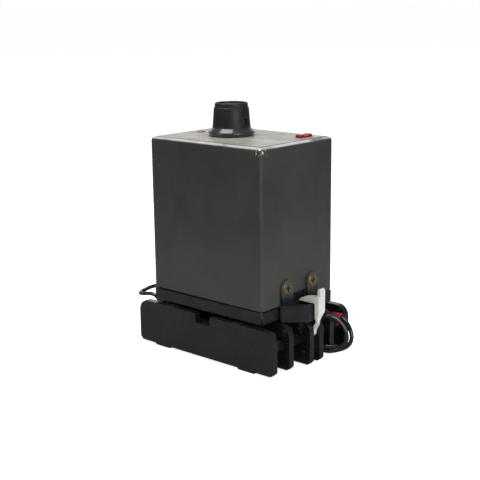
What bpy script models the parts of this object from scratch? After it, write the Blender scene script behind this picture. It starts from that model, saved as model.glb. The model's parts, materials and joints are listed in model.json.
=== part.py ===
"""Plug-in control module on its barrier-terminal socket.

A metal-covered control module with a knob, a rocker and a pilot lamp on top plugs into
a black barrier-terminal socket. A white latch lever on the socket hooks over a keeper
bracket on the module.

Frame: millimetre constants, turned into metres where meshes are made. +Z is up, Z = 0 is
the surface that the socket stands on, X runs along the socket towards the latch, and the
origin is under the middle of the module.
"""
import math

import bmesh
import bpy
from mathutils import Vector

for old in list(bpy.data.objects):
    bpy.data.objects.remove(old)

MM = 0.001
GAP = 0.3

# Module: base, cover and top, seen in plan as half lengths.
HALF_X = 32.0
HALF_Y = 24.0
BASE_Z = 20.5
COVER_Z = 26.8
TOP_Z = 94.7
COVER_WALL = 1.2
TOP_WALL = 1.5
COVER_EDGE = 1.7
LABEL_INSET = 2.0
LABEL_RECESS = 0.6
LABEL_THICK = 0.4
LABEL_TOP = TOP_Z + 0.05

# Socket: six upright plates along X, with wiring bays open between them at both ends.
PLATE_END = 39.7
LATCH_PLATE_END = 42.2
PLATE_LOW = 0.7
PLATE_TOP = 19.8
PLATE_CORNER = 5.0
PLATE_CHAMFER = 1.4
WALL_Y = (23.2, 26.3)
BARRIER_Y = (12.45, 15.55)
LATCH_PLATE_Y = (1.95, 4.75)
NOTCH_HALF = 4.4
NOTCH_Z = 15.7
BUMP_X = 19.5
BUMP_HALF = 2.25
BUMP_TOP = 20.2
FOOT_X = 25.0
FOOT_HALF = 5.0
CORE_X = 30.5
CORE_Y = 23.7
CORE_LOW = 2.4
CORE_TOP = 16.8
BAY_Y = (-19.4, -8.6, 8.6, 19.4)
SHELF_X = 36.6
SHELF_Z = (9.5, 12.7)
TERMINAL_X = 33.0
SCREW_HOLE_R = 1.7
PIN_X = 25.5
RIVET_X = 14.0

# Keeper bracket and its screws on the +X face of the module.
KEEPER_X = HALF_X + GAP
KEEPER_OUT = 41.9
KEEPER_Z = (20.0, 27.2)
TAB_Y = 8.55
TAB_HALF = 3.65
TAB_THICK = 1.0
SCREW_Z = 34.0
COVER_NOTCH_HALF = 4.9
COVER_NOTCH_TOP = 30.7

# Latch lever: its pivot, the head outside the keeper, and the hook over the keeper.
PIVOT = (38.6, 0.0, 6.0)
PIVOT_R = 1.0
HEAD_IN = 42.6
HEAD_OUT = 44.7
HEAD_HALF = 2.2
STEM_HALF = 1.6
HOOK_Z = 27.6
HOOK_TIP = 34.1
HOOK_ROOT = 29.9
LEVER_TOP = 33.8

# Knob on the potentiometer.
KNOB_X = -5.3
KNOB_Y = 0.0
KNOB_Z = 95.05
SHAFT_R = 2.85
BUSH_R = 4.1
SET_SCREW_Z = 6.0

# Red rocker and pilot lamp.
ROCKER = (23.7, 14.15)
ROCKER_HALF_X = 1.65
ROCKER_HALF_Y = 3.8
ROCKER_PIVOT_Z = 92.3
ROCKER_CUT = (1.98, 4.3)
LAMP_X = -24.4
LAMP_Y = 0.8
LAMP_R = 1.45

# Circuit boards inside the cover.
BOARD_Y = (13.0, 14.6)
BOARD_HALF_X = 27.0
BOARD_Z = (31.0, 79.0)

# Wires, in millimetres: each route is a hand-laid list that the tube runs smoothly through.
WIRE = 1.8
OUTER_LEAD = [
    (36.1, 19.4, 15.9), (38.4, 19.4, 15.9), (40.9, 19.3, 15.7), (43.3, 19.0, 14.8),
    (45.5, 18.5, 13.2), (47.1, 17.9, 11.0), (47.9, 17.4, 8.6), (47.6, 16.9, 6.4),
    (46.4, 16.3, 4.6), (44.8, 15.3, 3.5), (43.0, 13.9, 2.8), (41.2, 12.3, 2.4),
    (39.3, 11.0, 2.3), (36.9, 10.2, 2.7), (34.2, 9.9, 3.4), (31.1, 9.8, 4.0),
]
INNER_LEAD = [
    (36.7, 8.6, 14.1), (36.8, 8.6, 15.5), (37.4, 8.8, 17.0), (38.8, 9.5, 18.3),
    (40.6, 10.7, 18.6), (42.3, 12.0, 18.0), (44.0, 13.2, 16.5), (45.7, 13.9, 14.5),
    (47.1, 14.1, 12.0), (47.7, 14.1, 9.3), (47.0, 13.8, 6.9), (45.1, 12.9, 5.4),
    (42.6, 11.4, 4.9), (39.8, 9.6, 4.9), (37.0, 8.2, 5.0), (34.1, 7.4, 4.8),
    (31.1, 7.2, 4.4),
]
LEFT_JUMPER = [
    (-36.3, -17.3, 14.1), (-36.3, -17.3, 16.2), (-36.8, -17.4, 18.1), (-38.2, -17.6, 19.5),
    (-40.4, -17.9, 20.0), (-43.4, -18.2, 19.7), (-46.4, -18.3, 19.1), (-49.2, -17.1, 18.7),
    (-50.4, -14.2, 18.9), (-49.2, -11.3, 20.0), (-46.3, -10.1, 21.1), (-43.2, -9.8, 21.8),
    (-40.2, -9.6, 21.6), (-37.8, -9.5, 20.1), (-36.6, -9.4, 17.6), (-36.3, -9.4, 14.1),
]
SLEEVE = (36.2, 41.0)
SLEEVE_R = (1.25, 1.75)


# ---------------------------------------------------------------- materials

def material(name, colour, roughness, metallic=0.0):
    """A Principled material with one colour, roughness and metallic value."""
    made = bpy.data.materials.new(name)
    made.use_nodes = True
    shader = made.node_tree.nodes["Principled BSDF"]
    shader.inputs["Base Color"].default_value = (*colour, 1.0)
    shader.inputs["Roughness"].default_value = roughness
    shader.inputs["Metallic"].default_value = metallic
    return made


# ---------------------------------------------------------------- shells

def scaled(points):
    return [Vector(point) * MM for point in points]


def block(bm, low, high, chamfer=0.0, keep_bottom=False, segments=1):
    """A box between two corners, its edges cut back by chamfer."""
    middle = [(a + b) / 2 for a, b in zip(low, high)]
    verts = bmesh.ops.create_cube(bm, size=1.0)["verts"]
    for vert in verts:
        vert.co = Vector([(m + c * (b - a)) * MM
                          for m, c, a, b in zip(middle, vert.co, low, high)])
    if chamfer:
        edges = {edge for vert in verts for edge in vert.link_edges}
        bottom = (low[2] + 1e-4) * MM
        if keep_bottom:
            edges = {e for e in edges if any(v.co.z > bottom for v in e.verts)}
        bmesh.ops.bevel(bm, geom=sorted(edges, key=lambda e: e.index), offset=chamfer * MM,
                        segments=segments, profile=0.5, affect="EDGES")


def prism(bm, outline, axis, low, high):
    """An outline extruded along an axis; it is given in the other two axes, in XYZ order."""
    rings = []
    for level in (low, high):
        points = []
        for u, v in outline:
            place = [u, v]
            place.insert("XYZ".index(axis), level)
            points.append(place)
        rings.append([bm.verts.new(p) for p in scaled(points)])
    bm.faces.new(rings[0])
    bm.faces.new(rings[1][::-1])
    count = len(outline)
    for i in range(count):
        j = (i + 1) % count
        bm.faces.new((rings[0][i], rings[0][j], rings[1][j], rings[1][i]))


def turned(bm, profile, centre, axis="Z", steps=24):
    """A closed profile of (radius, height) points turned about an axis through centre."""
    rings = []
    for radius, height in profile:
        ring = []
        turns = 1 if radius == 0 else steps
        for i in range(turns):
            angle = math.tau * (i + 0.5) / steps
            across = (radius * math.cos(angle), radius * math.sin(angle))
            if axis == "Z":
                offset = (*across, height)
            elif axis == "X":
                offset = (height, *across)
            else:
                offset = (across[1], height, across[0])
            ring.append(bm.verts.new(scaled([[c + o for c, o in zip(centre, offset)]])[0]))
        rings.append(ring)
    for here, there in zip(rings, rings[1:] + rings[:1]):
        if len(here) == 1 and len(there) == 1:
            continue
        for i in range(steps):
            j = (i + 1) % steps
            if len(here) == 1:
                bm.faces.new((here[0], there[i], there[j]))
            elif len(there) == 1:
                bm.faces.new((here[i], here[j], there[0]))
            else:
                bm.faces.new((here[i], here[j], there[j], there[i]))


def rod(bm, radius, low, high, centre, axis="Z", steps=16):
    """A plain round bar between two heights measured along the axis."""
    turned(bm, [(0, low), (radius, low), (radius, high), (0, high)], centre, axis, steps)


def arc(centre, radius, start, end, steps):
    """Points on a circle from start to end, in degrees."""
    points = []
    for i in range(steps + 1):
        angle = math.radians(start + (end - start) * i / steps)
        points.append((centre[0] + radius * math.cos(angle),
                       centre[1] + radius * math.sin(angle)))
    return points


# ---------------------------------------------------------------- objects

def piece(name, build, mat, smooth=True):
    """One named object from the shells that build adds, with its faces pointing out."""
    mesh = bpy.data.meshes.new(name)
    bm = bmesh.new()
    build(bm)
    bmesh.ops.recalc_face_normals(bm, faces=bm.faces)
    bm.to_mesh(mesh)
    bm.free()
    if smooth:
        mesh.shade_smooth()
        mesh.set_sharp_from_angle(angle=math.radians(35))
    mesh.materials.append(mat)
    made = bpy.data.objects.new(name, mesh)
    bpy.context.scene.collection.objects.link(made)
    return made


def combine(target, name, build, operation):
    """Join a shape to the target, or cut it away, with a Boolean that stays live."""
    tool = piece(name, build, target.data.materials[0])
    tool.hide_render = True
    tool.display_type = "WIRE"
    step = target.modifiers.new(name, "BOOLEAN")
    step.operation = operation
    step.solver = "EXACT"
    step.object = tool


def axis_empty(name, place, riders):
    """An empty on a joint's axis that carries the pieces that move with the joint."""
    empty = bpy.data.objects.new(name, None)
    empty.empty_display_size = 5 * MM
    empty.location = Vector(place) * MM
    bpy.context.scene.collection.objects.link(empty)
    for rider in riders:
        rider.parent = empty
        rider.matrix_parent_inverse.translation = -empty.location


def smooth_route(points, spacing):
    """Evenly spaced points on a Catmull-Rom curve through the route."""
    route = [Vector(p) for p in points]
    ends = [2 * route[0] - route[1], *route, 2 * route[-1] - route[-2]]
    dense = []
    fine = 24
    for a, b, c, d in zip(ends, ends[1:], ends[2:], ends[3:]):
        for i in range(fine):
            t = i / fine
            dense.append(0.5 * (2 * b + (c - a) * t + (2 * a - 5 * b + 4 * c - d) * t * t
                                + (3 * b - a - 3 * c + d) * t ** 3))
    dense.append(route[-1])
    total = sum((q - p).length for p, q in zip(dense, dense[1:]))
    count = max(2, round(total / spacing))
    even = [dense[0]]
    run = 0.0
    for p, q in zip(dense, dense[1:]):
        run += (q - p).length
        if run >= total * len(even) / count and len(even) < count:
            even.append(q)
    even.append(dense[-1])
    return even


def wire(name, route, diameter, mat):
    """A round wire along a smooth route, as a bevelled curve with filled ends."""
    curve = bpy.data.curves.new(name, "CURVE")
    curve.dimensions = "3D"
    curve.bevel_depth = diameter / 2 * MM
    curve.bevel_resolution = 2
    curve.use_fill_caps = True
    points = smooth_route(route, 2 * diameter)
    spline = curve.splines.new("POLY")
    spline.points.add(len(points) - 1)
    for knot, point in zip(spline.points, points):
        knot.co = (*(point * MM), 1.0)
    curve.materials.append(mat)
    made = bpy.data.objects.new(name, curve)
    bpy.context.scene.collection.objects.link(made)
    return made


def copies(source, places):
    """Put the shape of one object, its Booleans done, at numbered places, and drop it.

    A place is (x, y, degrees about Z).
    """
    graph = bpy.context.evaluated_depsgraph_get()
    mesh = bpy.data.meshes.new_from_object(source.evaluated_get(graph))
    tools = [step.object for step in source.modifiers]
    name = source.name
    for old in [source, *tools]:
        bpy.data.objects.remove(old)
    for number, (x, y, turn) in enumerate(places, 1):
        made = bpy.data.objects.new(f"{name}_{number}", mesh)
        made.location = (x * MM, y * MM, 0.0)
        made.rotation_euler.z = math.radians(turn)
        bpy.context.scene.collection.objects.link(made)


def bays(x):
    """The place at distance x from the middle in each of the eight wiring bays."""
    return [(side * x, y, turn) for side, turn in ((-1, 180.0), (1, 0.0)) for y in BAY_Y]


# ---------------------------------------------------------------- socket

def plate_outline(left, right, outer):
    """Side view of one plate; the two outer walls also have feet, bumps and a notch."""
    c, r = PLATE_CHAMFER, PLATE_CORNER
    outline = [(left, PLATE_LOW + c), (left + c, PLATE_LOW)]
    if outer:
        for middle in (-FOOT_X, FOOT_X):
            near, far = (middle - FOOT_HALF, middle + FOOT_HALF)
            outline += [(near, PLATE_LOW), (near + PLATE_LOW, 0.0),
                        (far - PLATE_LOW, 0.0), (far, PLATE_LOW)]
    outline += [(right - c, PLATE_LOW), (right, PLATE_LOW + c)]
    outline += arc((right - r, PLATE_TOP - r), r, 0, 90, 5)
    if outer:
        steps = ((BUMP_X, BUMP_HALF, BUMP_TOP), (0.0, NOTCH_HALF, NOTCH_Z),
                 (-BUMP_X, BUMP_HALF, BUMP_TOP))
        for middle, half, level in steps:
            outline += [(middle + half, PLATE_TOP), (middle + half, level),
                        (middle - half, level), (middle - half, PLATE_TOP)]
    outline += arc((left + r, PLATE_TOP - r), r, 90, 180, 5)
    return outline


def socket_plates(bm):
    for low, high in (WALL_Y, BARRIER_Y, LATCH_PLATE_Y):
        outer = (low, high) == WALL_Y
        right = LATCH_PLATE_END if (low, high) == LATCH_PLATE_Y else PLATE_END
        outline = plate_outline(-PLATE_END, right, outer)
        prism(bm, outline, "Y", -high, -low)
        prism(bm, outline, "Y", low, high)


def socket_core(bm):
    block(bm, (-CORE_X, -CORE_Y, CORE_LOW), (CORE_X, CORE_Y, CORE_TOP))


def bay_blocks(bm, low, high):
    """The same box, given for the +X end with Y about the bay's middle, in every bay."""
    for side in (-1, 1):
        near, far = sorted((side * low[0], side * high[0]))
        for y in BAY_Y:
            block(bm, (near, y + low[1], low[2]), (far, y + high[1], high[2]))


def socket_holes(bm):
    for x, y, _ in bays(TERMINAL_X):
        rod(bm, SCREW_HOLE_R, SHELF_Z[0] - 1, SHELF_Z[1] + 1, (x, y, 0), steps=12)
    for side in (-1, 1):
        rod(bm, 1.5, 1.0, 7.0, (side * RIVET_X, 0, 0), steps=12)
    rod(bm, PIVOT_R + GAP, -6.0, 6.0, PIVOT, "Y", 16)


def make_socket(black, brass, steel, board):
    shelf_low, shelf_top = SHELF_Z
    socket = piece("socket_body", socket_core, black)
    combine(socket, "socket_plates", socket_plates, "UNION")
    combine(socket, "socket_shelves", lambda bm: bay_blocks(
        bm, (CORE_X - 1.0, -4.2, shelf_low), (SHELF_X, 4.2, shelf_top)), "UNION")
    combine(socket, "contact_pockets", lambda bm: bay_blocks(
        bm, (23.6, -3.0, 1.0), (27.4, 3.0, CORE_TOP + 5)), "DIFFERENCE")
    combine(socket, "contact_slots", lambda bm: bay_blocks(
        bm, (26.9, -2.9, shelf_top - 0.05), (CORE_X + 0.5, 2.9, shelf_top + 1.4)), "DIFFERENCE")
    combine(socket, "plate_recess", lambda bm: block(
        bm, (-CORE_X - 0.1, -23.0, -1.0), (CORE_X + 0.1, 23.0, CORE_LOW + 0.05)), "DIFFERENCE")
    combine(socket, "socket_holes", socket_holes, "DIFFERENCE")

    plate = piece("bottom_plate",
                  lambda bm: block(bm, (-30.0, -22.7, 0.0), (30.0, 22.7, 2.0)), board)

    def rivet_holes(bm):
        for side in (-1, 1):
            rod(bm, 1.5, -1.0, 3.0, (side * RIVET_X, 0, 0), steps=12)
    combine(plate, "plate_rivet_holes", rivet_holes, "DIFFERENCE")

    rivet = piece("bottom_rivet", lambda bm: rod(bm, 1.2, 0.1, 6.5, (0, 0, 0), steps=12), brass)
    copies(rivet, [(-RIVET_X, 0, 0), (RIVET_X, 0, 0)])

    low, high = (shelf_top + GAP, shelf_top + GAP + 0.8)
    profile = [(3.5, low), (3.5, high), (-6.8, high), (-6.8, 5.0), (-6.0, 5.0), (-6.0, low)]
    contact = piece("terminal_contact", lambda bm: prism(bm, profile, "Y", -2.6, 2.6), brass)
    combine(contact, "contact_screw_hole", lambda bm: rod(
        bm, SCREW_HOLE_R, 12.0, 15.0, (0, 0, 0), steps=12), "DIFFERENCE")
    copies(contact, bays(TERMINAL_X))

    screw_profile = [(0, 10.2), (1.1, 10.2), (1.4, 10.6), (1.4, 14.1), (2.4, 14.1),
                     (2.4, 14.7), (2.1, 14.9), (2.1, 16.4), (1.7, 16.9), (0, 16.9)]
    screw = piece("terminal_screw", lambda bm: turned(
        bm, screw_profile, (0, 0, 0), steps=16), steel)
    combine(screw, "screw_slot", lambda bm: block(
        bm, (-0.3, -3.0, 16.2), (0.3, 3.0, 18.0)), "DIFFERENCE")
    copies(screw, bays(TERMINAL_X))

    piece("latch_pin", lambda bm: rod(bm, PIVOT_R, -4.7, 4.7, PIVOT, "Y", 16), steel)


# ---------------------------------------------------------------- module

def make_module(black, brass, steel, paint, label_paper):
    base = piece("plug_base", lambda bm: block(
        bm, (-HALF_X, -HALF_Y, BASE_Z), (HALF_X, HALF_Y, COVER_Z - GAP), 0.7), black)
    combine(base, "base_spigot", lambda bm: block(
        bm, (-30.4, -22.4, 24.0), (30.4, 22.4, 29.0)), "UNION")
    combine(base, "base_pad", lambda bm: block(
        bm, (28.9, -4.5, 25.0), (31.7, 4.5, 30.4)), "UNION")

    combine(base, "pin_pockets", lambda bm: bay_blocks(
        bm, (PIN_X - 0.7, -2.3, 19.0), (PIN_X + 0.7, 2.3, 23.8)), "DIFFERENCE")

    blade = [(-2.0, 23.5), (2.0, 23.5), (2.0, 8.0), (1.2, 6.6), (-1.2, 6.6), (-2.0, 8.0)]
    pin = piece("plug_pin", lambda bm: prism(bm, blade, "X", -0.4, 0.4), brass)
    copies(pin, bays(PIN_X))

    cover = piece("cover_can", lambda bm: block(
        bm, (-HALF_X, -HALF_Y, COVER_Z), (HALF_X, HALF_Y, TOP_Z), COVER_EDGE, True, 3), paint)
    inside_x = HALF_X - COVER_WALL
    inside_y = HALF_Y - COVER_WALL
    combine(cover, "cover_inside", lambda bm: block(
        bm, (-inside_x, -inside_y, 20.0), (inside_x, inside_y, TOP_Z - TOP_WALL)), "DIFFERENCE")
    combine(cover, "label_recess", lambda bm: block(
        bm, (LABEL_INSET - HALF_X, LABEL_INSET - HALF_Y, TOP_Z - LABEL_RECESS),
        (HALF_X - LABEL_INSET, HALF_Y - LABEL_INSET, TOP_Z + 3)), "DIFFERENCE")

    def top_openings(bm):
        rod(bm, BUSH_R + GAP, 91.0, 97.0, (KNOB_X, KNOB_Y, 0), steps=24)
        rod(bm, LAMP_R + GAP, 91.0, 97.0, (LAMP_X, LAMP_Y, 0), steps=16)
        block(bm, (ROCKER[0] - ROCKER_CUT[0], ROCKER[1] - ROCKER_CUT[1], 91.0),
              (ROCKER[0] + ROCKER_CUT[0], ROCKER[1] + ROCKER_CUT[1], 97.0))

    def cover_openings(bm):
        top_openings(bm)
        block(bm, (28.0, -COVER_NOTCH_HALF, 20.0), (35.0, COVER_NOTCH_HALF, COVER_NOTCH_TOP))
        for side in (-1, 1):
            rod(bm, 1.8, 28.0, 35.0, (0, side * TAB_Y, SCREW_Z), "X", 16)
    combine(cover, "cover_openings", cover_openings, "DIFFERENCE")

    inset = LABEL_INSET + GAP
    label = piece("top_label", lambda bm: block(
        bm, (inset - HALF_X, inset - HALF_Y, LABEL_TOP - LABEL_THICK),
        (HALF_X - inset, HALF_Y - inset, LABEL_TOP)), label_paper)
    combine(label, "label_openings", top_openings, "DIFFERENCE")

    make_keeper(black, brass, steel)


def make_keeper(black, brass, steel):
    outline = [(KEEPER_X, -12.7), (KEEPER_X + TAB_THICK, -12.7), (KEEPER_OUT, -5.2),
               (KEEPER_OUT, 5.2), (KEEPER_X + TAB_THICK, 12.7), (KEEPER_X, 12.7)]
    keeper = piece("latch_keeper", lambda bm: prism(bm, outline, "Z", *KEEPER_Z), black)

    def tabs(bm):
        for side in (-1, 1):
            y = side * TAB_Y
            shape = [(y - TAB_HALF, 24.0), (y + TAB_HALF, 24.0)]
            shape += arc((y, SCREW_Z), TAB_HALF, 0, 180, 10)
            prism(bm, shape, "X", KEEPER_X + 0.01, KEEPER_X + TAB_THICK)
    combine(keeper, "keeper_tabs", tabs, "UNION")

    window = [(33.9, -9.6), (40.0, -4.3), (40.0, 4.3), (33.9, 9.6)]
    combine(keeper, "keeper_window", lambda bm: prism(bm, window, "Z", 15.0, 30.0), "DIFFERENCE")

    face = KEEPER_X + TAB_THICK

    def countersinks(bm):
        for side in (-1, 1):
            turned(bm, [(0, KEEPER_X - 0.5), (1.75, KEEPER_X - 0.5), (1.75, KEEPER_X + 0.1),
                        (3.1, face + 0.05), (3.1, face + 1), (0, face + 1)],
                   (0, side * TAB_Y, SCREW_Z), "X", 20)
    combine(keeper, "keeper_countersinks", countersinks, "DIFFERENCE")

    screw_profile = [(0, 27.6), (1.0, 27.6), (1.4, 28.0), (1.4, KEEPER_X + 0.2),
                     (2.72, face - 0.05), (2.6, face + 0.08), (0, face + 0.22)]
    screw = piece("keeper_screw", lambda bm: turned(
        bm, screw_profile, (0, 0, SCREW_Z), "X", 20), brass)
    a, b = 0.38, 1.5
    cross = [(a, a), (a, b), (-a, b), (-a, a), (-b, a), (-b, -a),
             (-a, -a), (-a, -b), (a, -b), (a, -a), (b, -a), (b, a)]
    combine(screw, "cross_recess", lambda bm: prism(
        bm, [(u, SCREW_Z + v) for u, v in cross], "X", face - 0.75, face + 2), "DIFFERENCE")
    copies(screw, [(0, -TAB_Y, 0), (0, TAB_Y, 0)])

    plate = piece("nut_plate", lambda bm: block(
        bm, (29.0, -12.5, 30.8), (30.5, 12.5, 37.2), 0.3), steel)
    combine(plate, "nut_plate_holes", lambda bm: [
        rod(bm, 1.7, 27.0, 33.0, (0, side * TAB_Y, SCREW_Z), "X", 16)
        for side in (-1, 1)], "DIFFERENCE")


# ---------------------------------------------------------------- latch

def make_latch(white):
    px, _, pz = PIVOT

    def side_view(bm):
        """The lever from the side: pivot eye, stem, jog outwards, head and hook."""
        outline = arc((px, pz), 2.6, 200, 330, 8)
        outline += [(40.8, 8.2), (40.8, 14.6)]
        outline += [(42.0, 16.4), (43.4, 18.2), (43.9, 20.4), (44.4, 22.4),
                    (HEAD_OUT, 24.0), (HEAD_OUT, LEVER_TOP - 0.7),
                    (HEAD_OUT - 0.6, LEVER_TOP), (HEAD_IN + 1.0, LEVER_TOP),
                    (HEAD_IN + 0.6, LEVER_TOP - 0.5), (HEAD_IN + 0.6, HOOK_ROOT + 0.5),
                    (HEAD_IN + 0.1, HOOK_ROOT)]
        reach = HEAD_IN - HOOK_TIP
        rise = HOOK_ROOT - HOOK_Z - 0.3
        for i in range(1, 8):
            t = i / 7
            outline.append((HEAD_IN - reach * t, HOOK_Z + 0.3 + rise * math.sqrt(1 - t * t)))
        outline += [(HOOK_TIP, HOOK_Z), (HEAD_IN, HOOK_Z), (HEAD_IN, 20.0), (42.5, 18.8),
                    (39.4, 14.6), (37.6, 12.4), (36.8, 10.0), (36.2, 7.2)]
        prism(bm, outline, "Y", -5.0, 5.0)

    lever = piece("latch_lever", side_view, white)

    def front_view(bm):
        """The same lever from the front: a wide head, necked above the slot, and a slim leg."""
        right = [(-0.4, 0.0), (-0.4, 12.4), (STEM_HALF, 13.4), (STEM_HALF, 14.8), (1.1, 16.6),
                 (0.3, 18.2), (0.1, 19.8),
                 (0.4, 21.0), (1.1, 22.2), (1.9, 23.1), (HEAD_HALF, 24.0),
                 (HEAD_HALF, LEVER_TOP - 0.5), (HEAD_HALF - 0.4, LEVER_TOP + 1)]
        left = [(-1.1, LEVER_TOP + 1), (-1.1, HOOK_ROOT + 0.4), (-HEAD_HALF, HOOK_ROOT + 0.1),
                (-HEAD_HALF, 20.8), (-STEM_HALF, 20.2), (-STEM_HALF, 0.0)]
        prism(bm, right + left, "X", 30.0, 50.0)
    combine(lever, "lever_front_view", front_view, "INTERSECT")
    combine(lever, "lever_pivot_hole", lambda bm: rod(
        bm, PIVOT_R + GAP, -6.0, 6.0, PIVOT, "Y", 16), "DIFFERENCE")
    axis_empty("latch_axis", PIVOT, [lever])


# ---------------------------------------------------------------- knob and potentiometer

def make_knob(knob_black, steel, brass):
    centre = (KNOB_X, KNOB_Y, KNOB_Z)
    outside = [(6.2, 13.2), (6.4, 13.95), (6.9, 13.95), (7.2, 13.7), (7.32, 12.1), (7.62, 11.8),
               (7.68, 11.3), (8.28, 3.9), (8.7, 3.1), (9.5, 2.2), (10.2, 1.5), (10.33, 1.25),
               (10.2, 1.0), (9.9, 0.6), (9.8, 0.0)]
    inside = [(7.3, 0.0), (7.3, 3.9), (SHAFT_R + 0.25, 3.9), (SHAFT_R + 0.25, 11.5), (0, 11.5)]
    knob = piece("knob", lambda bm: turned(
        bm, [(0, 13.2), *outside, *inside], centre, steps=40), knob_black)
    combine(knob, "set_screw_hole", lambda bm: rod(
        bm, 1.3, 1.5, 14.0, (KNOB_X, KNOB_Y, KNOB_Z + SET_SCREW_Z), "X", 16), "DIFFERENCE")

    set_screw = piece("knob_set_screw", lambda bm: rod(
        bm, 1.0, 3.3, 7.0, (KNOB_X, KNOB_Y, KNOB_Z + SET_SCREW_Z), "X", 16), steel)
    combine(set_screw, "set_screw_slot", lambda bm: block(
        bm, (KNOB_X + 6.5, -2.0, KNOB_Z + SET_SCREW_Z - 0.2),
        (KNOB_X + 8.0, 2.0, KNOB_Z + SET_SCREW_Z + 0.2)), "DIFFERENCE")

    shaft = piece("pot_shaft", lambda bm: turned(
        bm, [(0, 84.9), (6.6, 84.9), (6.6, 85.9), (SHAFT_R, 85.9), (SHAFT_R, 106.2), (0, 106.2)],
        (KNOB_X, KNOB_Y, 0), steps=24), steel)
    axis_empty("knob_axis", centre, [knob, set_screw, shaft])

    bore = SHAFT_R + 0.3
    piece("potentiometer", lambda bm: turned(
        bm, [(0, 83.0), (8.2, 83.0), (8.2, 92.8), (BUSH_R, 92.8), (BUSH_R, 98.0),
             (BUSH_R - 0.3, 98.3), (bore, 98.3), (bore, 91.4), (7.2, 91.4), (7.2, 84.5),
             (0, 84.5)], (KNOB_X, KNOB_Y, 0), steps=24), steel)
    piece("pot_washer", lambda bm: turned(
        bm, [(BUSH_R + GAP, 95.05), (6.6, 95.05), (6.6, 95.5), (BUSH_R + GAP, 95.5)],
        (KNOB_X, KNOB_Y, 0), steps=24), steel)
    nut = piece("pot_nut", lambda bm: rod(
        bm, 5.9, 95.8, 97.8, (KNOB_X, KNOB_Y, 0), steps=6), brass)
    combine(nut, "pot_nut_hole", lambda bm: rod(
        bm, BUSH_R + GAP, 94.0, 99.0, (KNOB_X, KNOB_Y, 0), steps=24), "DIFFERENCE")


# ---------------------------------------------------------------- rocker and lamp

def make_rocker(red, black, steel, lens):
    x, y = ROCKER
    half = ROCKER_HALF_Y
    pivot = (x, y, ROCKER_PIVOT_Z)
    cap_outline = [(y - half + 0.5, 90.6), (y + half - 0.5, 90.6), (y + half, 93.6),
                   (y + half, 95.5), (y + half - 0.4, 95.95), (y + half - 0.9, 96.05),
                   (y, 95.45), (y - half + 0.9, 96.05), (y - half + 0.4, 95.95),
                   (y - half, 95.5), (y - half, 93.6)]
    cap = piece("rocker_cap", lambda bm: prism(
        bm, cap_outline, "X", x - ROCKER_HALF_X, x + ROCKER_HALF_X), red)
    combine(cap, "rocker_pin_hole", lambda bm: rod(
        bm, 0.9, -4.0, 4.0, pivot, "X", 12), "DIFFERENCE")
    axis_empty("rocker_axis", pivot, [cap])

    housing = piece("rocker_housing", lambda bm: block(
        bm, (x - 3.2, y - 5.8, 82.0), (x + 3.2, y + 5.8, 92.9)), black)
    combine(housing, "rocker_pocket", lambda bm: block(
        bm, (x - 2.0, y - 4.4, 88.6), (x + 2.0, y + 4.4, 95.0)), "DIFFERENCE")
    combine(housing, "housing_pin_groove", lambda bm: block(
        bm, (x - 2.9, y - 0.9, 91.4), (x + 2.9, y + 0.9, 95.0)), "DIFFERENCE")
    piece("rocker_pin", lambda bm: rod(bm, 0.6, -2.6, 2.6, pivot, "X", 12), steel)

    piece("pilot_lamp", lambda bm: turned(
        bm, [(0, 87.0), (LAMP_R, 87.0), (LAMP_R, 94.8), (1.1, 95.15), (0.5, 95.3), (0, 95.35)],
        (LAMP_X, LAMP_Y, 0), steps=16), lens)


# ---------------------------------------------------------------- electronics

def make_electronics(board, black, brass, blue, aluminium):
    low, high = BOARD_Z
    for name, side in (("main_board", -1), ("driver_board", 1)):
        near, far = sorted((side * BOARD_Y[0], side * BOARD_Y[1]))
        piece(name, lambda bm, n=near, f=far: block(
            bm, (-BOARD_HALF_X, n, low), (BOARD_HALF_X, f, high)), board)

    reach = BOARD_Y[0] - GAP

    spacer = piece("board_spacer", lambda bm: rod(
        bm, 2.5, -reach, reach, (0, 0, high - 4), "Y", 12), brass)
    copies(spacer, [(-23.0, 0, 0), (23.0, 0, 0)])

    piece("control_relay", lambda bm: block(
        bm, (-19.0, -reach, 41.5), (3.0, 2.4, 69.0), 0.6), blue)
    piece("smoothing_capacitor", lambda bm: turned(
        bm, [(0, 45.0), (5.6, 45.0), (6.0, 45.6), (6.0, 69.4), (5.5, 70.0), (0, 70.0)],
        (12.0, -4.5, 0), steps=20), black)

    sink = [(4.0, reach), (22.0, reach), (22.0, 5.0), (20.5, 5.0), (20.5, 11.2),
            (5.5, 11.2), (5.5, 5.0), (4.0, 5.0)]
    piece("heat_sink", lambda bm: prism(bm, sink, "Z", 45.0, 70.0), aluminium)
    piece("power_transistor", lambda bm: block(
        bm, (8.0, 6.4, 50.0), (18.0, 10.9, 65.0), 0.5), black)


# ---------------------------------------------------------------- leads

def make_leads(wire_black, red_sleeve):
    wire("outer_lead", OUTER_LEAD, WIRE, wire_black)
    wire("inner_lead", INNER_LEAD, WIRE, wire_black)
    wire("left_jumper", LEFT_JUMPER, WIRE, wire_black)

    inner, outer = SLEEVE_R
    near, far = SLEEVE
    _, y, z = OUTER_LEAD[0]
    sleeve = piece("lead_sleeve", lambda bm: turned(
        bm, [(inner, near), (outer, near), (outer, far - 0.4), (inner + 0.2, far), (inner, far)],
        (0, y, z), "X", 16), red_sleeve)
    tail = [(38.3, z + 0.4), (40.7, z + 0.4), (40.2, z - 3.5), (39.2, z - 3.5)]
    combine(sleeve, "sleeve_tail", lambda bm: prism(
        bm, tail, "Y", y - outer - 0.45, y - inner - 0.25), "UNION")


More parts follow.
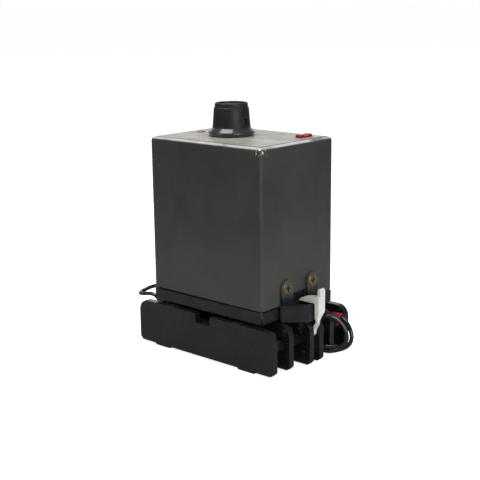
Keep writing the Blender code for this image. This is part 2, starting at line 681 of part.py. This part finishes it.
def main():
    black = material("black_plastic", (0.018, 0.020, 0.022), 0.42)
    knob_black = material("knob_plastic", (0.014, 0.015, 0.017), 0.35)
    paint = material("grey_green_paint", (0.055, 0.060, 0.053), 0.45, 0.2)
    label_paper = material("top_label", (0.38, 0.36, 0.30), 0.45)
    brass = material("brass", (0.45, 0.33, 0.12), 0.35, 1.0)
    steel = material("plated_steel", (0.45, 0.45, 0.44), 0.35, 1.0)
    white = material("white_nylon", (0.62, 0.62, 0.55), 0.45)
    red = material("red_plastic", (0.35, 0.010, 0.012), 0.30)
    lens = material("red_lens", (0.45, 0.015, 0.015), 0.20)
    board = material("circuit_board", (0.10, 0.13, 0.05), 0.50)
    blue = material("blue_case", (0.03, 0.06, 0.16), 0.40)
    aluminium = material("aluminium", (0.60, 0.60, 0.60), 0.40, 1.0)
    wire_black = material("wire_insulation", (0.015, 0.016, 0.018), 0.38)
    sleeve = material("red_sleeve", (0.32, 0.010, 0.015), 0.45)

    make_socket(black, brass, steel, board)
    make_module(black, brass, steel, paint, label_paper)
    make_latch(white)
    make_knob(knob_black, steel, brass)
    make_rocker(red, black, steel, lens)
    make_electronics(board, black, brass, blue, aluminium)
    make_leads(wire_black, sleeve)


main()
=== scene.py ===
"""Plug-in control module in its barrier socket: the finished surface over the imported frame.

Everything is in metres, in the frame's own axes: Z up, X along the socket towards the
latch, Y away from the long front face.
"""
import json
import math

import bmesh
import bpy
from mathutils import Matrix, Vector


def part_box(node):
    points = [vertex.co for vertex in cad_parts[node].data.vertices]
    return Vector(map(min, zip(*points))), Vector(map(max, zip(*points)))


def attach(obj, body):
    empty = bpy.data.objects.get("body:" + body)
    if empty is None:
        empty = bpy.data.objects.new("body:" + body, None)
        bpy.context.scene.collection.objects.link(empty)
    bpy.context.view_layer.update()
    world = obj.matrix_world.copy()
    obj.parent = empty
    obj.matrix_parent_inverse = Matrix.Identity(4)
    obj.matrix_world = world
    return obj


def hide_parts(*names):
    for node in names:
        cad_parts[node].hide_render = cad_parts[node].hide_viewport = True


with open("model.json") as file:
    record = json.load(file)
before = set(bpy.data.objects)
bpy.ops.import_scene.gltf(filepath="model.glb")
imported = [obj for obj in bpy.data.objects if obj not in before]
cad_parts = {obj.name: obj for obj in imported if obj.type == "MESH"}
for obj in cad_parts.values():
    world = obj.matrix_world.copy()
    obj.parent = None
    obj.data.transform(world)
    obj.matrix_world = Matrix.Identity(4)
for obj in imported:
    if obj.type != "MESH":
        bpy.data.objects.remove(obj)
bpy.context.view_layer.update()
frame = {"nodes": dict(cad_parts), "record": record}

MM = 0.001
NODES = frame["nodes"]
ROOT = "socket_and_module"

COVER_LOW, COVER_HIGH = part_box("cover_can")
LABEL_LOW, LABEL_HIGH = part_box("top_label")
KNOB_LOW, KNOB_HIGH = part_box("knob")
LAMP_LOW, LAMP_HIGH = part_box("pilot_lamp")

# Heights between which a finish changes from one look to the next.
KEEPER_TABS = (0.0285, 0.0335)
# Heights below which painted shade darkens the brass down in the terminal bays.
BRASS_BAY_SHADE_HEIGHTS = (0.022, 0.026)
# Heights over which painted shade darkens the latch lever towards its foot.
LATCH_PAINTED_SHADE = (0.024, 0.012)
KNOB_GRIP_ABOVE_FOOT = (0.0031, 0.0035)

# How bright the floor and sky look to the camera, and what light they give.
FLOOR_GREY, FLOOR_GREY_REFLECTED, FLOOR_GLOW_SEEN = 0.80, 0.34, 0.84
SKY_SEEN, SKY_LIGHT = 1.0, 0.19

# The leads' routes, in millimetres, as the frame has them.
WIRE = 1.8
OUTER_LEAD = [
    (36.1, 19.4, 15.9), (38.4, 19.4, 15.9), (40.9, 19.3, 15.7), (43.3, 19.0, 14.8),
    (45.5, 18.5, 13.2), (47.1, 17.9, 11.0), (47.9, 17.4, 8.6), (47.6, 16.9, 6.4),
    (46.4, 16.3, 4.6), (44.8, 15.3, 3.5), (43.0, 13.9, 2.8), (41.2, 12.3, 2.4),
    (39.3, 11.0, 2.3), (36.9, 10.2, 2.7), (34.2, 9.9, 3.4), (31.1, 9.8, 4.0),
]
INNER_LEAD = [
    (36.7, 8.6, 14.1), (36.8, 8.6, 15.5), (37.4, 8.8, 17.0), (38.8, 9.5, 18.3),
    (40.6, 10.7, 18.6), (42.3, 12.0, 18.0), (44.0, 13.2, 16.5), (45.7, 13.9, 14.5),
    (47.1, 14.1, 12.0), (47.7, 14.1, 9.3), (47.0, 13.8, 6.9), (45.1, 12.9, 5.4),
    (42.6, 11.4, 4.9), (39.8, 9.6, 4.9), (37.0, 8.2, 5.0), (34.1, 7.4, 4.8),
    (31.1, 7.2, 4.4),
]
LEFT_JUMPER = [
    (-36.3, -17.3, 14.1), (-36.3, -17.3, 16.2), (-36.8, -17.4, 18.1), (-38.2, -17.6, 19.5),
    (-40.4, -17.9, 20.0), (-43.4, -18.2, 19.7), (-46.4, -18.3, 19.1), (-49.2, -17.1, 18.7),
    (-50.4, -14.2, 18.9), (-49.2, -11.3, 20.0), (-46.3, -10.1, 21.1), (-43.2, -9.8, 21.8),
    (-40.2, -9.6, 21.6), (-37.8, -9.5, 20.1), (-36.6, -9.4, 17.6), (-36.3, -9.4, 14.1),
]


# ---------------------------------------------------------------- camera, floor and light

def make_camera():
    """A camera that looks down a little on the long front face and the latch end."""
    azimuth, elevation, roll = (math.radians(a) for a in (41.958, 13.310, -0.682))
    distance, aim_right, aim_up, aim_z = 0.45364, -0.000855, 0.027147, 0.0205
    back = Vector((math.sin(azimuth) * math.cos(elevation),
                   -math.cos(azimuth) * math.cos(elevation), math.sin(elevation)))
    right = (-back).cross(Vector((0, 0, 1))).normalized()
    up = back.cross(right)
    place = right * aim_right + up * aim_up + Vector((0, 0, aim_z)) + back * distance
    tilted_right = math.cos(roll) * right + math.sin(roll) * up
    tilted_up = math.cos(roll) * up - math.sin(roll) * right
    turn = Matrix((tilted_right, tilted_up, back)).transposed().to_4x4()
    data = bpy.data.cameras.new("camera")
    data.sensor_width = 36.0
    data.lens = 75.44
    data.clip_start = 0.01
    camera = bpy.data.objects.new("camera", data)
    camera.matrix_world = Matrix.Translation(place) @ turn
    bpy.context.scene.collection.objects.link(camera)
    bpy.context.scene.camera = camera


def area_light(name, place, aim, size, power, gloss_only=False):
    data = bpy.data.lights.new(name, "AREA")
    data.shape = "RECTANGLE"
    data.size, data.size_y = size
    data.energy = power
    light = bpy.data.objects.new(name, data)
    light.location = place
    light.rotation_euler = (Vector(aim) - Vector(place)).to_track_quat("-Z", "Y").to_euler()
    light.visible_camera = False
    light.visible_diffuse = not gloss_only
    bpy.context.scene.collection.objects.link(light)


def by_ray(tree, kind, value, other):
    """A value that is one number for that kind of ray and another for every other ray."""
    path = tree.nodes.new("ShaderNodeLightPath")
    pick = tree.nodes.new("ShaderNodeMapRange")
    pick.inputs["To Min"].default_value = other
    pick.inputs["To Max"].default_value = value
    tree.links.new(path.outputs[kind], pick.inputs["Value"])
    return pick.outputs["Result"]


def make_studio():
    """A pale floor under a white backdrop, a soft light overhead, a fill and two glows.

    The glows light only reflections, and the floor is darker there than it looks."""
    floor_mesh = bpy.data.meshes.new("floor")
    reach = 40.0
    floor_mesh.from_pydata([(-reach, -reach, 0), (reach, -reach, 0), (reach, reach, 0),
                            (-reach, reach, 0)], [], [(0, 1, 2, 3)])
    floor = bpy.data.objects.new("floor", floor_mesh)
    floor.location.z = -0.0002
    bpy.context.scene.collection.objects.link(floor)
    pale = bpy.data.materials.new("floor_pale")
    pale.use_nodes = True
    tree = pale.node_tree
    shader = tree.nodes["Principled BSDF"]
    grey = by_ray(tree, "Is Glossy Ray", FLOOR_GREY_REFLECTED, FLOOR_GREY)
    tree.links.new(grey, shader.inputs["Base Color"])
    shader.inputs["Roughness"].default_value = 0.9
    shader.inputs["Specular IOR Level"].default_value = 0.0
    shader.inputs["Emission Color"].default_value = (1.0, 1.0, 1.0, 1.0)
    glow = by_ray(tree, "Is Camera Ray", FLOOR_GLOW_SEEN, 0.0)
    tree.links.new(glow, shader.inputs["Emission Strength"])
    floor_mesh.materials.append(pale)

    world = bpy.data.worlds.new("studio")
    world.use_nodes = True
    tree = world.node_tree
    sky = tree.nodes["Background"]
    sky.inputs["Color"].default_value = (1.0, 1.0, 1.0, 1.0)
    strength = by_ray(tree, "Is Camera Ray", SKY_SEEN, SKY_LIGHT)
    tree.links.new(strength, sky.inputs["Strength"])
    bpy.context.scene.world = world

    area_light("overhead", (-0.14, -0.05, 0.75), (0, 0, 0.08), (0.45, 0.45), 4.2)
    area_light("fill", (0.60, -0.20, 0.30), (0, 0, 0.05), (0.35, 0.35), 2.3)
    area_light("backdrop_glow", (-0.62, 0.68, 0.34), (0, 0, 0.09), (1.3, 0.55), 1.4, True)
    area_light("front_glow", (-0.30, -0.70, 0.50), (0, 0, 0.05), (0.25, 0.25), 0.9, True)
    bpy.context.scene.view_settings.view_transform = "Standard"


# ---------------------------------------------------------------- materials

class Surface:
    """A Principled material whose texture nodes read object coordinates, in metres."""

    def __init__(self, name, roughness=0.4, metallic=0.0, coat=0.0, specular=0.5):
        self.mat = bpy.data.materials.new(name)
        self.mat.use_nodes = True
        self.tree = self.mat.node_tree
        self.shader = self.tree.nodes["Principled BSDF"]
        self.shader.inputs["Roughness"].default_value = roughness
        self.shader.inputs["Metallic"].default_value = metallic
        self.shader.inputs["Coat Weight"].default_value = coat
        self.shader.inputs["Coat Roughness"].default_value = 0.15
        self.shader.inputs["Specular IOR Level"].default_value = specular
        self.place = self.add("ShaderNodeTexCoord").outputs["Object"]

    def add(self, kind, **values):
        node = self.tree.nodes.new(kind)
        for key, value in values.items():
            setattr(node, key, value)
        return node

    def link(self, source, target):
        self.tree.links.new(source, target)

    def noise(self, size, detail=3.0, stretch=(1, 1, 1), roughness=0.5):
        """Noise with features about size metres across, as a value from 0 to 1."""
        mapping = self.add("ShaderNodeMapping")
        mapping.inputs["Scale"].default_value = stretch
        self.link(self.place, mapping.inputs["Vector"])
        node = self.add("ShaderNodeTexNoise")
        node.inputs["Scale"].default_value = 1.0 / size
        node.inputs["Detail"].default_value = detail
        node.inputs["Roughness"].default_value = roughness
        self.link(mapping.outputs["Vector"], node.inputs["Vector"])
        return node.outputs["Fac"]

    def remap(self, value, low, high, to_low=0.0, to_high=1.0):
        node = self.add("ShaderNodeMapRange", interpolation_type="SMOOTHSTEP")
        for key, number in (("From Min", low), ("From Max", high),
                            ("To Min", to_low), ("To Max", to_high)):
            node.inputs[key].default_value = number
        self.link(value, node.inputs["Value"])
        return node.outputs["Result"]

    def math(self, operation, a, b=None):
        node = self.add("ShaderNodeMath", operation=operation)
        for socket, value in zip(node.inputs, (a, b)):
            if isinstance(value, (int, float)):
                socket.default_value = value
            elif value is not None:
                self.link(value, socket)
        return node.outputs[0]

    def mix(self, factor, a, b):
        """Colour a where factor is 0 and b where it is 1; each is a socket or (r, g, b)."""
        node = self.add("ShaderNodeMix", data_type="RGBA")
        if isinstance(factor, (int, float)):
            node.inputs["Factor"].default_value = factor
        else:
            self.link(factor, node.inputs["Factor"])
        for socket, value in ((node.inputs[6], a), (node.inputs[7], b)):
            if isinstance(value, tuple):
                socket.default_value = (*value, 1.0)
            else:
                self.link(value, socket)
        return node.outputs[2]

    def axis(self, name):
        node = self.add("ShaderNodeSeparateXYZ")
        self.link(self.place, node.inputs[0])
        return node.outputs[name]

    def bump(self, height, depth):
        node = self.add("ShaderNodeBump")
        node.inputs["Strength"].default_value = 1.0
        node.inputs["Distance"].default_value = depth
        self.link(height, node.inputs["Height"])
        self.link(node.outputs["Normal"], self.shader.inputs["Normal"])

    def finish(self, colour=None, roughness=None):
        if colour is not None:
            self.link(colour, self.shader.inputs["Base Color"])
        if roughness is not None:
            self.link(roughness, self.shader.inputs["Roughness"])
        return self.mat


def varied(name, dark, light, patch, rough, grain, depth, **shader):
    """Colour that drifts from dark to light in patches, with a fine grain in the surface."""
    s = Surface(name, **shader)
    drift = s.remap(s.noise(patch, 4.0), 0.3, 0.7)
    fine = s.noise(grain, 2.0)
    colour = s.mix(drift, dark, light)
    roughness = s.remap(s.noise(patch * 0.6, 3.0), 0.3, 0.7, *rough)
    s.bump(fine, depth)
    return s.finish(colour, roughness)


def cover_paint():
    """Satin grey paint: soft mottling, a bright line along the top edges that is partly rubbed
    paint and partly painted highlight, and a chipped corner.
    """
    s = Surface("cover_paint", metallic=0.15, specular=0.4)
    low, high = COVER_LOW.z, COVER_HIGH.z
    height = s.axis("Z")
    mottle = s.remap(s.noise(0.022, 5.0, roughness=0.6), 0.3, 0.7)
    upper = s.mix(mottle, (0.034, 0.039, 0.039), (0.046, 0.051, 0.047))
    lower = s.mix(mottle, (0.064, 0.069, 0.066), (0.078, 0.082, 0.074))
    colour = s.mix(s.remap(height, low, high - 0.006), lower, upper)
    warm = s.remap(s.noise(0.04, 2.0), 0.42, 0.62, 0.0, 0.3)
    colour = s.mix(warm, colour, (0.074, 0.074, 0.060))
    streak = s.remap(s.noise(0.003, 3.0, stretch=(1, 1, 0.25)), 0.45, 0.75, 0.0, 0.12)
    colour = s.mix(streak, colour, (0.085, 0.090, 0.086))
    # Bright line along the top edges: partly paint rubbed through, partly a painted highlight of
    # the edge catching the overhead light.
    near_top = s.remap(height, high - 0.0010, high - 0.0005)
    broken = s.remap(s.noise(0.006, 4.0, stretch=(0.3, 0.3, 1)), 0.30, 0.48, 0.25, 1.0)
    wear_and_highlight_line = s.math("MULTIPLY", near_top, broken)
    colour = s.mix(wear_and_highlight_line, colour, (0.62, 0.62, 0.60))
    chips = s.remap(s.noise(0.0010, 2.0), 0.55, 0.62)
    corner = s.math("MULTIPLY", s.remap(s.axis("X"), COVER_HIGH.x - 0.006, COVER_HIGH.x - 0.001),
                    s.remap(height, high - 0.004, high - 0.001))
    front = s.remap(s.math("MULTIPLY", s.axis("Y"), -1.0), -COVER_LOW.y - 0.006,
                    -COVER_LOW.y - 0.001)
    corner = s.math("MULTIPLY", s.math("MULTIPLY", corner, front), chips)
    colour = s.mix(corner, colour, (0.75, 0.75, 0.74))
    rough = s.remap(s.noise(0.012, 4.0), 0.3, 0.7, 0.36, 0.52)
    rough = s.math("SUBTRACT", rough, s.math("MULTIPLY", wear_and_highlight_line, 0.18))
    s.bump(s.noise(0.0005, 3.0), 0.00002)
    return s.finish(colour, rough)


def label_print():
    """Smudged satin label with a thin dark line just inside its edge."""
    s = Surface("label_print", specular=0.5)
    smudge = s.remap(s.noise(0.012, 5.0, roughness=0.65), 0.35, 0.7)
    colour = s.mix(smudge, (0.40, 0.385, 0.345), (0.285, 0.27, 0.235))
    wipes = s.remap(s.noise(0.004, 4.0, stretch=(0.25, 1, 1)), 0.5, 0.75, 0.0, 0.5)
    colour = s.mix(wipes, colour, (0.48, 0.47, 0.43))
    across = s.remap(s.math("ABSOLUTE", s.axis("X")), LABEL_HIGH.x - 0.0006, LABEL_HIGH.x - 0.0004)
    along = s.remap(s.math("ABSOLUTE", s.axis("Y")), LABEL_HIGH.y - 0.0006, LABEL_HIGH.y - 0.0004)
    colour = s.mix(s.math("MAXIMUM", across, along), colour, (0.06, 0.06, 0.055))
    rough = s.remap(s.noise(0.008, 4.0), 0.3, 0.7, 0.28, 0.50)
    s.bump(s.noise(0.0006, 3.0), 0.00002)
    return s.finish(colour, rough)


def latch_nylon():
    """Milky nylon with a trace of yellow, and painted shade in mottled patches low down."""
    s = Surface("latch_nylon", roughness=0.42)
    s.shader.inputs["Subsurface Weight"].default_value = 0.15
    s.shader.inputs["Subsurface Radius"].default_value = (0.002, 0.0018, 0.0014)
    s.shader.inputs["Subsurface Scale"].default_value = 0.5
    tint = s.remap(s.noise(0.006, 4.0), 0.35, 0.65)
    colour = s.mix(tint, (0.86, 0.86, 0.81), (0.76, 0.76, 0.69))
    # Painted shade: mottled darkening of the lever towards the bottom.
    painted_shade = s.math("MULTIPLY", s.remap(s.noise(0.002, 4.0), 0.45, 0.7),
                   s.remap(s.axis("Z"), *LATCH_PAINTED_SHADE))
    colour = s.mix(painted_shade, colour, (0.30, 0.29, 0.26))
    s.bump(s.noise(0.0008, 3.0), 0.00002)
    return s.finish(colour)


def screw_brass():
    """Dull brass with dirt in its pits, and painted shade that makes it far darker down in the
    terminal bays.
    """
    s = Surface("screw_brass", metallic=1.0)
    tarnish = s.remap(s.noise(0.0012, 4.0), 0.35, 0.65)
    colour = s.mix(tarnish, (0.46, 0.36, 0.20), (0.28, 0.20, 0.12))
    # Painted shade: the brass turns far darker below these heights, down in the terminal bays.
    colour = s.mix(s.remap(s.axis("Z"), *BRASS_BAY_SHADE_HEIGHTS), (0.10, 0.085, 0.045), colour)
    pits = s.remap(s.noise(0.0004, 2.0), 0.6, 0.7)
    colour = s.mix(pits, colour, (0.08, 0.06, 0.04))
    rough = s.remap(s.noise(0.0008, 3.0), 0.3, 0.7, 0.30, 0.55)
    s.bump(s.noise(0.0003, 2.0), 0.00002)
    return s.finish(colour, rough)


def keeper_finish():
    """Dark blued band whose two tabs are painted like the cover."""
    s = Surface("keeper_finish", metallic=0.3)
    drift = s.remap(s.noise(0.006, 4.0), 0.3, 0.7)
    band = s.mix(drift, (0.012, 0.015, 0.017), (0.022, 0.026, 0.029))
    tabs = s.mix(drift, (0.082, 0.086, 0.083), (0.112, 0.116, 0.108))
    colour = s.mix(s.remap(s.axis("Z"), *KEEPER_TABS), band, tabs)
    s.bump(s.noise(0.0005, 2.0), 0.00003)
    return s.finish(colour, s.remap(s.noise(0.0036), 0.3, 0.7, 0.30, 0.50))


def knob_finish():
    """Dark grip over a glossier skirt, whose paler colour is a painted sheen for the overhead
    light it reflects.
    """
    s = Surface("knob_finish", specular=0.35)
    drift = s.remap(s.noise(0.006, 4.0), 0.3, 0.7)
    grip = s.mix(drift, (0.008, 0.009, 0.011), (0.014, 0.016, 0.019))
    # Painted sheen: the skirt's paler colour stands in for the overhead light its cone reflects.
    skirt = s.mix(drift, (0.018, 0.020, 0.023), (0.028, 0.030, 0.034))
    above = s.remap(s.axis("Z"), *(KNOB_LOW.z + height for height in KNOB_GRIP_ABOVE_FOOT))
    s.bump(s.noise(0.0004, 2.0), 0.00001)
    wear = s.remap(s.noise(0.0036), 0.3, 0.7, 0.0, 0.10)
    rough = s.math("ADD", s.remap(above, 0.0, 1.0, 0.28, 0.46), wear)
    s.link(s.remap(above, 0.0, 1.0, 0.9, 0.0), s.shader.inputs["Coat Weight"])
    return s.finish(s.mix(above, skirt, grip), rough)


def make_materials():
    glossy = {"specular": 0.35, "coat": 0.35}
    return {
        "black_plastic": varied("socket_plastic", (0.0055, 0.007, 0.0085), (0.0105, 0.012, 0.014),
                                0.014, (0.20, 0.36), 0.0012, 0.000006, **glossy),
        "keeper_black": keeper_finish(),
        "knob_plastic": knob_finish(),
        "wire_insulation": varied("wire_insulation", (0.008, 0.010, 0.012), (0.018, 0.020, 0.023),
                                  0.004, (0.18, 0.32), 0.0005, 0.00001, coat=0.4),
        "red_plastic": varied("rocker_red", (0.25, 0.006, 0.007), (0.37, 0.012, 0.012),
                              0.003, (0.28, 0.42), 0.0005, 0.00001),
        "red_lens": varied("lamp_lens", (0.45, 0.014, 0.012), (0.60, 0.03, 0.02),
                           0.002, (0.12, 0.22), 0.0005, 0.000005, coat=0.5),
        "red_sleeve": varied("sleeve_red", (0.23, 0.008, 0.012), (0.34, 0.018, 0.022),
                             0.003, (0.34, 0.50), 0.0005, 0.00002),
        "plated_steel": varied("plated_steel", (0.42, 0.42, 0.41), (0.58, 0.58, 0.57),
                               0.003, (0.25, 0.45), 0.0004, 0.00001, metallic=1.0),
        "aluminium": varied("mill_aluminium", (0.55, 0.55, 0.55), (0.68, 0.68, 0.68),
                            0.006, (0.30, 0.48), 0.0004, 0.00001, metallic=1.0),
        "circuit_board": varied("board_laminate", (0.07, 0.10, 0.03), (0.12, 0.15, 0.06),
                                0.006, (0.38, 0.52), 0.0005, 0.00002),
        "relay_case": varied("relay_case", (0.025, 0.05, 0.13), (0.04, 0.075, 0.19),
                             0.006, (0.34, 0.48), 0.0005, 0.00001),
        "capacitor_sleeve": varied("capacitor_sleeve", (0.016, 0.018, 0.03), (0.03, 0.032, 0.05),
                                   0.006, (0.30, 0.42), 0.0005, 0.00001),
        "brass": screw_brass(),
        "grey_green_paint": cover_paint(),
        "top_label": label_print(),
        "white_nylon": latch_nylon(),
    }


MATERIALS = make_materials()


# ---------------------------------------------------------------- meshes

SHARP_DEGREES = 40


def smooth_group():
    """Geometry nodes that shade every face smooth and keep edges over SHARP_DEGREES sharp."""
    group = bpy.data.node_groups.new("smooth_by_edge_angle", "GeometryNodeTree")
    for direction in ("INPUT", "OUTPUT"):
        group.interface.new_socket("Geometry", in_out=direction, socket_type="NodeSocketGeometry")
    start = group.nodes.new("NodeGroupInput")
    end = group.nodes.new("NodeGroupOutput")
    faces = group.nodes.new("GeometryNodeSetShadeSmooth")
    edges = group.nodes.new("GeometryNodeSetShadeSmooth")
    edges.domain = "EDGE"
    angle = group.nodes.new("GeometryNodeInputMeshEdgeAngle")
    compare = group.nodes.new("FunctionNodeCompare")
    compare.operation = "LESS_EQUAL"
    compare.inputs["B"].default_value = math.radians(SHARP_DEGREES)
    group.links.new(start.outputs[0], faces.inputs["Geometry"])
    group.links.new(faces.outputs["Geometry"], edges.inputs["Geometry"])
    group.links.new(angle.outputs["Unsigned Angle"], compare.inputs["A"])
    group.links.new(compare.outputs["Result"], edges.inputs["Shade Smooth"])
    group.links.new(edges.outputs["Geometry"], end.inputs[0])
    return group


SMOOTH = smooth_group()


def dress(obj, slot_name, edge=0.0):
    """Give a frame node its material, rounded edges of that radius, smooth curves, flat faces."""
    obj.data.materials.clear()
    obj.data.materials.append(MATERIALS[slot_name])
    weld = obj.modifiers.new("weld", "WELD")
    weld.merge_threshold = 0.000002
    if edge:
        bevel = obj.modifiers.new("rounded_edges", "BEVEL")
        bevel.width = edge
        bevel.segments = 2
        bevel.limit_method = "ANGLE"
        bevel.angle_limit = math.radians(50)
    smooth = obj.modifiers.new("smooth", "NODES")
    smooth.node_group = SMOOTH
    flat = obj.modifiers.new("flat_faces", "WEIGHTED_NORMAL")
    flat.keep_sharp = True


def make_piece(name, bm, slot_name, body, replaced=()):
    bmesh.ops.recalc_face_normals(bm, faces=bm.faces)
    mesh = bpy.data.meshes.new(name)
    bm.to_mesh(mesh)
    bm.free()
    mesh.shade_smooth()
    mesh.set_sharp_from_angle(angle=math.radians(SHARP_DEGREES))
    mesh.materials.append(MATERIALS[slot_name])
    obj = bpy.data.objects.new(name, mesh)
    bpy.context.scene.collection.objects.link(obj)
    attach(obj, body)
    if replaced:
        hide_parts(*replaced)
    return obj


def lathe(bm, profile, centre, steps=72, axis="Z"):
    """Turn a profile of (radius, height) points, in millimetres, about an axis through centre."""
    rings = []
    for radius, height in profile:
        turns = 1 if radius == 0 else steps
        ring = []
        for i in range(turns):
            angle = math.tau * i / steps
            across, up = radius * math.cos(angle), radius * math.sin(angle)
            offset = Vector((across, up, height)) if axis == "Z" else Vector((height, across, up))
            ring.append(bm.verts.new(Vector(centre) + offset * MM))
        rings.append(ring)
    for here, there in zip(rings, rings[1:] + rings[:1]):
        if len(here) == 1 and len(there) == 1:
            continue
        for i in range(steps):
            j = (i + 1) % steps
            if len(here) == 1:
                bm.faces.new((here[0], there[i], there[j]))
            elif len(there) == 1:
                bm.faces.new((here[i], here[j], there[0]))
            else:
                bm.faces.new((here[i], here[j], there[j], there[i]))


# ---------------------------------------------------------------- pieces

def make_lead(name, route):
    """A lead along its route as a smooth tube, in place of the frame's own lead node."""
    points = [Vector(p) * MM for p in route]
    ends = [2 * points[0] - points[1], *points, 2 * points[-1] - points[-2]]
    line = []
    fine = 5
    for a, b, c, d in zip(ends, ends[1:], ends[2:], ends[3:]):
        for i in range(fine):
            t = i / fine
            line.append(0.5 * (2 * b + (c - a) * t + (2 * a - 5 * b + 4 * c - d) * t * t
                               + (3 * b - a - 3 * c + d) * t ** 3))
    line.append(points[-1])
    curve = bpy.data.curves.new(name + "_tube", "CURVE")
    curve.dimensions = "3D"
    curve.bevel_depth = WIRE / 2 * MM
    curve.bevel_resolution = 6
    curve.use_fill_caps = True
    spline = curve.splines.new("POLY")
    spline.points.add(len(line) - 1)
    for knot, point in zip(spline.points, line):
        knot.co = (*point, 1.0)
    curve.materials.append(MATERIALS["wire_insulation"])
    obj = bpy.data.objects.new(name + "_tube", curve)
    bpy.context.scene.collection.objects.link(obj)
    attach(obj, ROOT)
    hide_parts(name)


def make_knob():
    """The knob: a tapered grip on a flared skirt, a raised rim and a shallow cap recess."""
    centre = ((KNOB_LOW.x + KNOB_HIGH.x) / 2, (KNOB_LOW.y + KNOB_HIGH.y) / 2, KNOB_LOW.z)
    skirt = (KNOB_HIGH.x - KNOB_LOW.x) / 2 / MM
    top = (KNOB_HIGH.z - KNOB_LOW.z) / MM
    outline = [(0, top - 0.75), (6.2, top - 0.75), (6.35, top - 0.1), (6.55, top), (6.9, top),
               (7.15, top - 0.2), (7.3, top - 1.85), (7.6, top - 2.1), (7.68, top - 2.6),
               (8.28, 3.9), (8.33, 3.45), (8.5, 3.25), (9.85, 1.85), (skirt - 0.1, 1.5),
               (skirt, 1.2), (skirt - 0.1, 0.85), (skirt - 0.45, 0.5), (skirt - 0.5, 0.0),
               (7.4, 0.0), (7.4, 3.0), (0, 3.0)]
    bm = bmesh.new()
    lathe(bm, outline, centre, 96)
    knob = make_piece("knob_shell", bm, "knob_plastic", "knob_unit", ["knob"])

    low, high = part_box("knob_set_screw")
    hole = bmesh.new()
    lathe(hole, [(0, 0.0), (1.3, 0.0), (1.3, 8.0), (0, 8.0)],
          (high.x - 0.4 * MM, centre[1], (low.z + high.z) / 2), 32, "X")
    cut_away(knob, hole)


def cut_away(obj, bm):
    """Cut the shape in bm out of obj for good."""
    bmesh.ops.recalc_face_normals(bm, faces=bm.faces)
    mesh = bpy.data.meshes.new("cutter")
    bm.to_mesh(mesh)
    bm.free()
    tool = bpy.data.objects.new("cutter", mesh)
    bpy.context.scene.collection.objects.link(tool)
    step = obj.modifiers.new("cut", "BOOLEAN")
    step.operation = "DIFFERENCE"
    step.solver = "EXACT"
    step.object = tool
    graph = bpy.context.evaluated_depsgraph_get()
    done = bpy.data.meshes.new_from_object(obj.evaluated_get(graph))
    obj.modifiers.clear()
    obj.data = done
    bpy.data.objects.remove(tool)


def make_bezel():
    """A thin black ring round the pilot lamp, on the top label."""
    lamp = ((LAMP_LOW.x + LAMP_HIGH.x) / 2, (LAMP_LOW.y + LAMP_HIGH.y) / 2, LABEL_HIGH.z)
    radius = (LAMP_HIGH.x - LAMP_LOW.x) / 2 / MM
    bm = bmesh.new()
    lathe(bm, [(radius + 0.05, 0.02), (radius + 0.5, 0.02), (radius + 0.45, 0.18),
               (radius + 0.2, 0.24), (radius + 0.05, 0.2)], lamp, 40)
    make_piece("lamp_bezel", bm, "black_plastic", ROOT)


def dress_frame():
    """Materials, rounded edges and smooth shading for the frame's own nodes."""
    edges = {"socket_body": 0.35, "plug_base": 0.2, "latch_keeper": 0.25, "latch_lever": 0.25,
             "cover_can": 0.12, "rocker_cap": 0.2, "lead_sleeve": 0.15, "bottom_plate": 0.2}
    for entry in frame["record"]["subparts"]:
        name = entry["node"]
        dress(NODES[name], entry["material_slot"], edges.get(name, 0.0) * MM)


make_camera()
make_studio()
dress_frame()
make_lead("outer_lead", OUTER_LEAD)
make_lead("inner_lead", INNER_LEAD)
make_lead("left_jumper", LEFT_JUMPER)
make_knob()
make_bezel()
